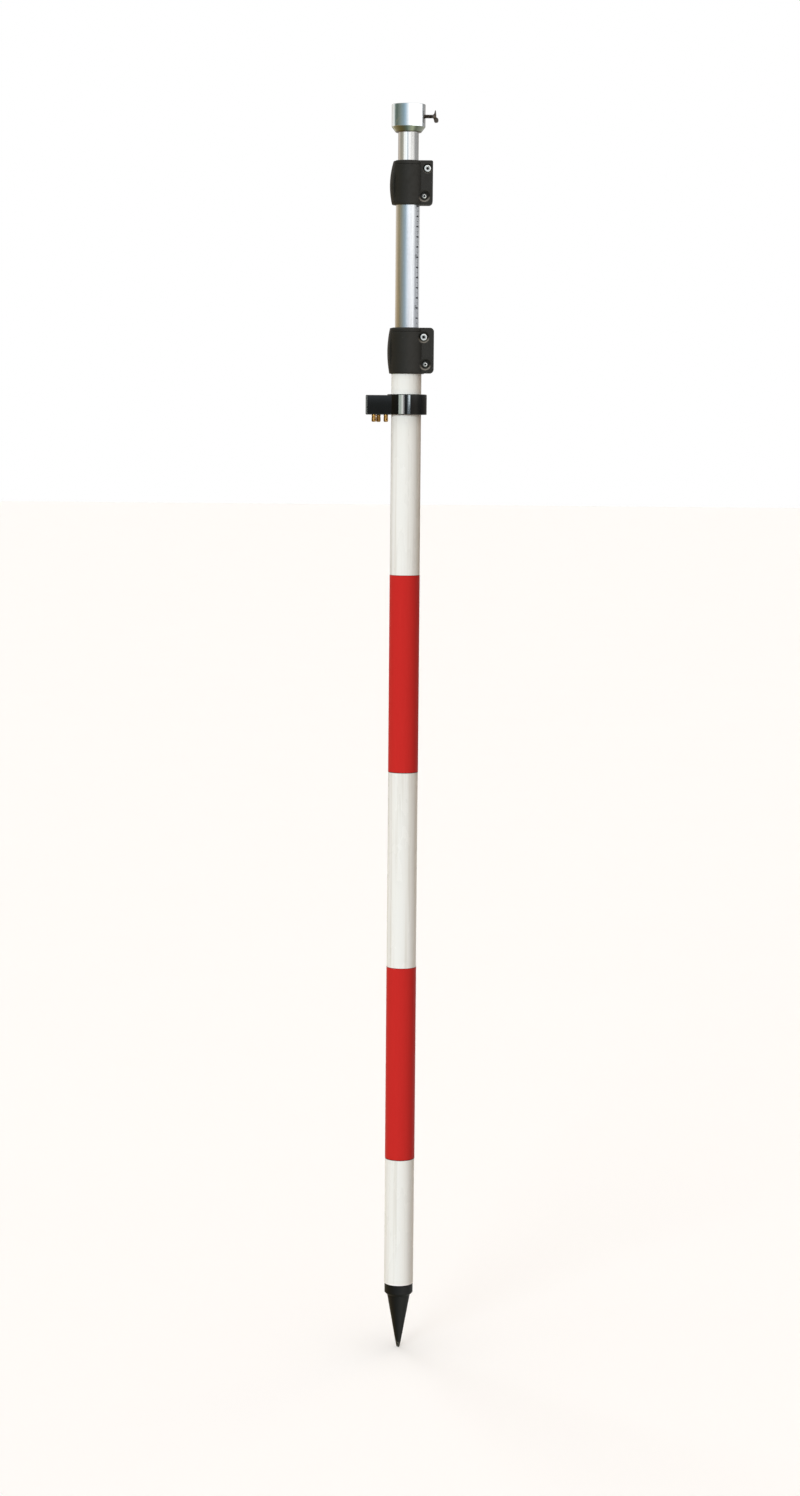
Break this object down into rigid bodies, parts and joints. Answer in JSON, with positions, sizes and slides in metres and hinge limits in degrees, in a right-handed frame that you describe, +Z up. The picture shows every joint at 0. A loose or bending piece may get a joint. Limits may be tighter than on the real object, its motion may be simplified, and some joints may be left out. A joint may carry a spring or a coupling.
{
  "type": "telescopic surveying pole",
  "caption": "Slim telescopic red and white surveying pole with lever clamps, a circular level on a sliding bracket, a steel ground point and a top socket with a thumb screw.",
  "frame": {"origin": "the tip of the ground point, where it stands on a survey mark", "axes": "+Z up along the pole axis; +X towards the clamp ears and the thumb screw; -Y is the front, the side with the clamp screw heads"},
  "size_m": [0.0701, 0.0412, 1.2659],
  "materials": {
    "white_paint": "glossy white stove enamel on aluminium tube",
    "red_film": "glossy red band film",
    "black_paint": "black powder coat on turned steel",
    "bright_tube": "satin drawn aluminium tube",
    "bright_socket": "fine turned aluminium",
    "cup_metal": "turned aluminium",
    "clamp_black": "moulded glass-filled nylon, matte",
    "level_black": "polished moulded plastic",
    "acetal": "turned acetal",
    "rubber": "soft rubber",
    "screw_steel": "zinc-plated machine steel",
    "dark_steel": "dulled nickel-plated steel",
    "brass": "turned brass",
    "vial_glass": "polished glass",
    "vial_liquid": "pale yellow-green level fluid"
  },
  "bodies": {
    "lower_section": {"lower_tube": "white_paint", "red_band_lower": "red_film", "red_band_upper": "red_film", "point_insert": "cup_metal", "lower_bumper": "rubber", "pole_point": "black_paint", "lower_clamp_body": "clamp_black", "lower_cam_bolt": "screw_steel", "lower_pivot_barrel": "screw_steel", "lower_thrust_plate": "screw_steel", "lower_fixing_bolt": "screw_steel", "lower_fixing_nut": "screw_steel"},
    "lower_lever": {"lower_lever": "clamp_black"},
    "lower_sleeve": {"lower_grip_sleeve": "acetal"},
    "mid_section": {"mid_tube": "bright_tube", "mid_guide_sleeve": "acetal", "mid_end_plug": "acetal", "mid_bumper": "rubber", "upper_clamp_body": "clamp_black", "upper_cam_bolt": "screw_steel", "upper_pivot_barrel": "screw_steel", "upper_thrust_plate": "screw_steel", "upper_fixing_bolt": "screw_steel", "upper_fixing_nut": "screw_steel"},
    "upper_lever": {"upper_lever": "clamp_black"},
    "upper_sleeve": {"upper_grip_sleeve": "acetal"},
    "upper_section": {"upper_tube": "bright_tube", "upper_guide_sleeve": "acetal", "upper_end_plug": "acetal", "head_socket": "bright_socket"},
    "thumb_screw": {"thumb_screw_shank": "dark_steel"},
    "thumb_wing": {"thumb_screw_wing": "dark_steel"},
    "level_bracket": {"level_bracket": "level_black", "level_clamp_screw": "screw_steel", "level_rubber_ring": "rubber"},
    "level_cup": {"level_cup": "cup_metal", "level_vial": "vial_glass", "level_liquid": "vial_liquid", "level_bezel": "cup_metal"},
    "level_screw_1": {"level_screw_1": "brass"},
    "level_screw_2": {"level_screw_2": "brass"},
    "level_screw_3": {"level_screw_3": "brass"}
  },
  "joints": [
    {"name": "lower_lever_swing", "type": "hinge", "parent": "lower_section", "child": "lower_lever", "pos_m": [0.0168, 0.0153, 1.0372], "axis": [0, 0, -1], "range_deg": [0, 105]},
    {"name": "mid_turn", "type": "hinge", "parent": "lower_section", "child": "lower_sleeve", "pos_m": [0, 0, 1.03], "axis": [0, 0, 1], "continuous": true},
    {"name": "mid_slide", "type": "slide", "parent": "lower_sleeve", "child": "mid_section", "axis": [0, 0, 1], "range_m": [-0.119, 0.66]},
    {"name": "upper_lever_swing", "type": "hinge", "parent": "mid_section", "child": "upper_lever", "pos_m": [0.0192, 0.0153, 1.2028], "axis": [0, 0, -1], "range_deg": [0, 105]},
    {"name": "upper_turn", "type": "hinge", "parent": "mid_section", "child": "upper_sleeve", "pos_m": [0, 0, 1.195], "axis": [0, 0, 1], "continuous": true},
    {"name": "upper_slide", "type": "slide", "parent": "upper_sleeve", "child": "upper_section", "axis": [0, 0, 1], "range_m": [-0.027, 0.677]},
    {"name": "thumb_screw_feed", "type": "slide", "parent": "upper_section", "child": "thumb_screw", "axis": [-1, 0, 0], "range_m": [-0.0025, 0.0055]},
    {"name": "thumb_screw_turn", "type": "hinge", "parent": "thumb_screw", "child": "thumb_wing", "pos_m": [0.0205, 0, 1.2544], "axis": [-1, 0, 0], "range_deg": [-1290, 2835]},
    {"name": "level_height", "type": "slide", "parent": "lower_section", "child": "level_bracket", "axis": [0, 0, 1], "range_m": [-0.15, 0.018]},
    {"name": "level_tilt", "type": "hinge", "parent": "level_bracket", "child": "level_cup", "pos_m": [-0.03005, 0.0013, 0.9689], "axis": [-0.3714, -0.9285, 0], "range_deg": [-1.5, 1.5]},
    {"name": "level_screw_1_turn", "type": "hinge", "parent": "level_bracket", "child": "level_screw_1", "pos_m": [-0.0203, -0.0026, 0.957], "axis": [0, 0, 1], "range_deg": [-200, 200]},
    {"name": "level_screw_2_turn", "type": "hinge", "parent": "level_bracket", "child": "level_screw_2", "pos_m": [-0.0323, -0.00433, 0.957], "axis": [0, 0, 1], "range_deg": [-180, 180]},
    {"name": "level_screw_3_turn", "type": "hinge", "parent": "level_bracket", "child": "level_screw_3", "pos_m": [-0.0278, 0.00693, 0.957], "axis": [0, 0, 1], "range_deg": [-180, 180]}
  ],
  "couplings": [
    {"joint": "level_screw_1_turn", "follows": "level_tilt", "ratio": -131.95},
    {"joint": "thumb_screw_turn", "follows": "thumb_screw_feed", "rad_per_m": 8976}
  ]
}
